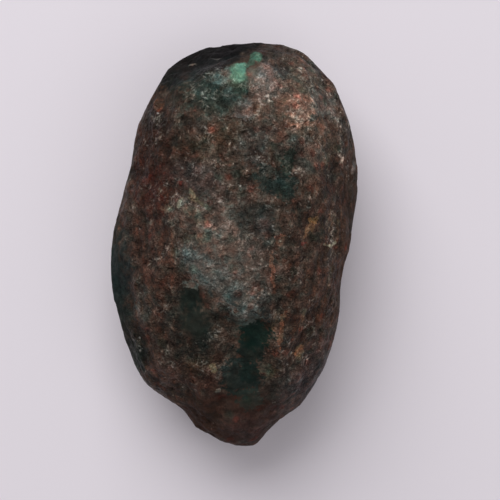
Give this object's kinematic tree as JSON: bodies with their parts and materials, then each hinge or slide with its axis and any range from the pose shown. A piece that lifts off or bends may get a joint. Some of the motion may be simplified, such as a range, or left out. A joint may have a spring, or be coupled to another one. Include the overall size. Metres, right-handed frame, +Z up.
{
  "type": "raw fuchsite stone",
  "caption": "Rounded, elongated raw stone of dark brown mica schist with green fuchsite patches, lying on its flattest side.",
  "frame": {"origin": "on the ground, under the middle of the stone, on the flat that it lies on", "axes": "+Z up out of the ground, +Y along the stone towards its blunt end, +X to the right when it is seen from above"},
  "size_m": [0.0218, 0.036, 0.017],
  "materials": {
    "fuchsite_stone": "rough, grainy natural stone, brown with dark green and mint green patches and small bright mica flecks"
  },
  "bodies": {
    "root": {"fuchsite_stone": "fuchsite_stone"}
  },
  "joints": []
}
